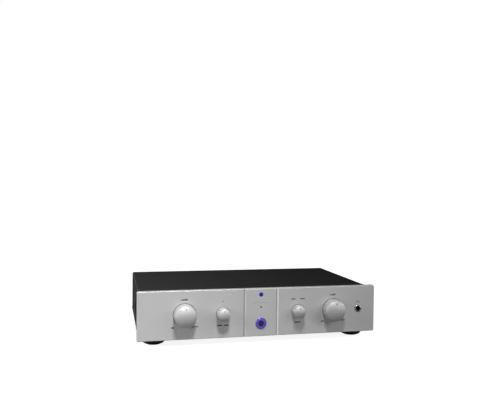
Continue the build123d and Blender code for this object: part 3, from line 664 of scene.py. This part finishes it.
# rear: a border round each pair of speaker posts, polarity signs, ticks by the line inputs
BORDER_MARGIN = 15      # from a post's axis out to the border's side
SIGN_Z, SIGN_LENGTH, SIGN_LINE = 68.5, 3.4, 0.7
LINE_IN_X = (73.0, 95.0, 117.0)
minus_right, plus_right, minus_left, plus_left = posts = [
    centre("speaker_cap_" + post).x / MM
    for post in ("right_minus", "right_plus", "left_minus", "left_plus")
]
rear_marks = []
for minus_x, plus_x in ((minus_right, plus_right), (minus_left, plus_left)):
    rear_marks += border(minus_x - BORDER_MARGIN, plus_x + BORDER_MARGIN, 36.0, 74.0, line=0.5)
for i, post_x in enumerate(posts):
    rear_marks.append(pill(post_x, SIGN_Z, SIGN_LENGTH, SIGN_LINE))
    if i % 2:
        # the upright stroke that makes a minus into a plus
        rear_marks.append(rectangle(post_x - SIGN_LINE / 2, post_x + SIGN_LINE / 2,
                                    SIGN_Z - SIGN_LENGTH / 2, SIGN_Z + SIGN_LENGTH / 2))
for x in LINE_IN_X:
    for z in (82.0, 26.0):
        rear_marks.append(pill(x, z, width=10.0, height=0.7))
print_marks("rear_printed_marks", rear_marks, REAR_Y, 1, "ink_light")


# ------------------------------------------------------------------ line input rings
# closed sections: radius, distance toward +Y from the ring's front
INSERT_SECTION = (
    (0.00165, 0), (0.0034, 0), (0.0034, 0.0004), (0.0031, 0.0007), (0.0019, 0.0007),
    (0.00165, 0.0004),
)
COLLAR_SECTION = (
    (0.0058, 0), (0.0074, 0), (0.0074, 0.0006), (0.0071, 0.0009), (0.0058, 0.0009),
)
INSERT_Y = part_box("line_in_shells")[1].y - 0.0016
COLLAR_Y = REAR_Y + 0.0016
RING_SEGMENTS = 48


def turned_ring(name, section, x, y, z, material):
    """Revolves a section round a line along Y through x, z."""
    bm = bmesh.new()
    rows = []
    for i in range(RING_SEGMENTS):
        angle = 2 * math.pi * i / RING_SEGMENTS
        rows.append([
            bm.verts.new((x + radius * math.cos(angle), y + depth, z + radius * math.sin(angle)))
            for radius, depth in section
        ])
    count = len(section)
    for i, row in enumerate(rows):
        following = rows[(i + 1) % RING_SEGMENTS]
        for k in range(count):
            after = (k + 1) % count
            bm.faces.new((row[k], row[after], following[after], following[k]))
    chassis_piece(name, bm, material)


for i, x in enumerate(LINE_IN_X, start=1):
    for row_name, z, key in (("upper", 66.0, "white_plastic"), ("lower", 42.0, "red_plastic")):
        for part, section, y in (
            ("insert", INSERT_SECTION, INSERT_Y),
            ("collar", COLLAR_SECTION, COLLAR_Y),
        ):
            turned_ring(f"line_in_{part}_{i}_{row_name}", section, x * MM, y, z * MM, M[key])

# ------------------------------------------------------------------ button spring
# a copy of the spring's mesh stands in for it, fixed to the chassis
spring_mesh = nodes["power_button_spring"].data.copy()
coil = bpy.data.objects.new("power_button_spring_coil", spring_mesh)
scene.collection.objects.link(coil)
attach(coil, "chassis")
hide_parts("power_button_spring")
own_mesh(coil)

# ------------------------------------------------------------------ smooth shading
# round pieces are smooth except at sharp corners; printed marks stay flat
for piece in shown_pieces():
    if piece.type == "MESH" and "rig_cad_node" not in piece:
        is_round = piece.name.startswith(("line_in_", "power_button_spring"))
        for polygon in piece.data.polygons:
            polygon.use_smooth = is_round
        if is_round:
            piece.data.set_sharp_from_angle(angle=math.radians(35))


# ------------------------------------------------------------------ floor
def floor_material():
    """Pale floor that glows to the camera only, with shade under the case."""
    mat = Surface("pale_floor", (0.9, 0.9, 0.9), rough=0.75, spec=0.1)
    seen = mat.node("ShaderNodeLightPath").outputs["Is Camera Ray"]
    # darker as a reflector of light than to the camera
    mat.vary_colour(seen, (0.20,) * 3, (0.34,) * 3)
    mat.vary_rough(mat.noise(scale=3.0), low=0.68, high=0.82)
    mat.inputs["Emission Color"].default_value = (1, 1, 1, 1)
    distance = mat.node("ShaderNodeVectorMath", operation="LENGTH")
    mat.link(mat.place, distance.inputs[0])
    glow = mat.remap(distance.outputs["Value"], low=0.90, high=1.0, start=0.45, end=1.3)
    # the middle of the footprint, seen only through slots and between the feet, stays in shade
    place = mat.axes(mat.place)
    wide = mat.remap(mat.absolute(place["X"]), low=1.0, high=0.0, start=0.13, end=0.17)
    from_middle = mat.absolute(mat.math("SUBTRACT", place["Y"], 0.008))
    deep = mat.remap(from_middle, low=1.0, high=0.0, start=0.040, end=0.070)
    glow = mat.times(glow, mat.remap(mat.times(wide, deep), low=1.0, high=0.12))
    mat.link(mat.times(seen, glow), mat.inputs["Emission Strength"])
    return mat.material


def build_floor():
    cells, half = 16, 40.0
    stops = [-half + 2 * half * i / cells for i in range(cells + 1)]
    bm = bmesh.new()
    grid = [[bm.verts.new((x, y, 0.0)) for y in stops] for x in stops]
    for i in range(cells):
        for j in range(cells):
            bm.faces.new((grid[i][j], grid[i + 1][j], grid[i + 1][j + 1], grid[i][j + 1]))
    mesh_object("studio_floor", bm, floor_material())


build_floor()


# ------------------------------------------------------------------ world
def build_world():
    """Plain white to the camera; as a light, dim and brighter from above, left and front."""
    ambient, from_above, from_left, from_front, least = 0.04, 0.02, 0.02, 0.05, 0.015
    world = bpy.data.worlds.new("studio")
    scene.world = world
    world.use_nodes = True
    tree = world.node_tree
    background = tree.nodes["Background"]
    coord = tree.nodes.new("ShaderNodeTexCoord")
    split = tree.nodes.new("ShaderNodeSeparateXYZ")
    tree.links.new(coord.outputs["Generated"], split.inputs[0])
    toward = split.outputs

    def calc(operation, first, second):
        return add_math(tree, operation, first, second)

    above = calc("MULTIPLY", calc("MAXIMUM", toward["Z"], 0.0), from_above)
    left = calc("MULTIPLY", calc("MULTIPLY", toward["X"], -1.0), from_left)
    front = calc("MULTIPLY", calc("MULTIPLY", toward["Y"], -1.0), from_front)
    total = calc("ADD", calc("ADD", calc("ADD", above, left), front), ambient)
    light = calc("MAXIMUM", total, least)
    seen = tree.nodes.new("ShaderNodeLightPath").outputs["Is Camera Ray"]
    shown = calc("MULTIPLY", seen, 1.0)
    unseen = calc("MULTIPLY", calc("SUBTRACT", 1.0, seen), light)
    tree.links.new(calc("ADD", shown, unseen), background.inputs[1])
    background.inputs[0].default_value = (1, 1, 1, 1)


build_world()


# ------------------------------------------------------------------ lights
def area(name, loc, target, size, power, spread=180):
    """Rectangular light aimed at target; spread in degrees."""
    data = bpy.data.lights.new(name, "AREA")
    data.shape = "RECTANGLE"
    data.size, data.size_y = size
    data.energy = power
    data.spread = math.radians(spread)
    light = bpy.data.objects.new(name, data)
    scene.collection.objects.link(light)
    light.location = loc
    light.rotation_mode = "QUATERNION"
    light.rotation_quaternion = (Vector(target) - Vector(loc)).to_track_quat("-Z", "Y")


area("key_top", loc=(-0.12, -0.86, 1.48), target=(-0.26, -0.12, 0.05),
     size=(0.32, 0.26), power=2.7, spread=46)
area("fill_left", loc=(-1.15, -0.50, 0.50), target=(-0.05, -0.14, 0.05),
     size=(0.3, 0.3), power=6.0)
area("fill_right", loc=(0.85, -0.75, 0.50), target=(0.25, -0.12, 0.05),
     size=(0.5, 0.4), power=0.9, spread=90)
# these stand behind the faceplate's plane, so they light only the case
area("back_left", loc=(-1.10, 1.5, 0.7), target=(0, 0.13, 0.05), size=(0.9, 0.6), power=5.0)
area("rear_top", loc=(-0.3, 1.15, 1.6), target=(0, 0.13, 0.06), size=(1.0, 0.5), power=5.5)
area("side_right", loc=(1.8, 0.15, 0.5), target=(0.2, 0.0, 0.05), size=(0.8, 0.4), power=9)


# ------------------------------------------------------------------ camera
def build_camera():
    """Stands in front, left and above, looking right and slightly down."""
    yaw, pitch, roll = math.radians(13.14), math.radians(1.20), math.radians(0.634)
    place = (-0.2609, FRONT_Y - 0.9723, PLATE_BOTTOM + 0.2601)
    data = bpy.data.cameras.new("camera")
    camera = bpy.data.objects.new("camera", data)
    scene.collection.objects.link(camera)
    forward = Vector((
        math.sin(yaw) * math.cos(pitch), math.cos(yaw) * math.cos(pitch), -math.sin(pitch)))
    level_right = Vector((math.cos(yaw), -math.sin(yaw), 0))
    level_up = level_right.cross(forward)
    right = math.cos(roll) * level_right + math.sin(roll) * level_up
    up = -math.sin(roll) * level_right + math.cos(roll) * level_up
    turn = Matrix((right, up, -forward)).transposed().to_4x4()
    camera.matrix_world = Matrix.Translation(place) @ turn
    data.sensor_fit = "HORIZONTAL"
    data.sensor_width = 36.0
    data.lens = 42.522875
    data.clip_start, data.clip_end = 0.02, 50
    scene.camera = camera


build_camera()
scene.view_settings.view_transform = "Standard"
scene.view_settings.look = "None"
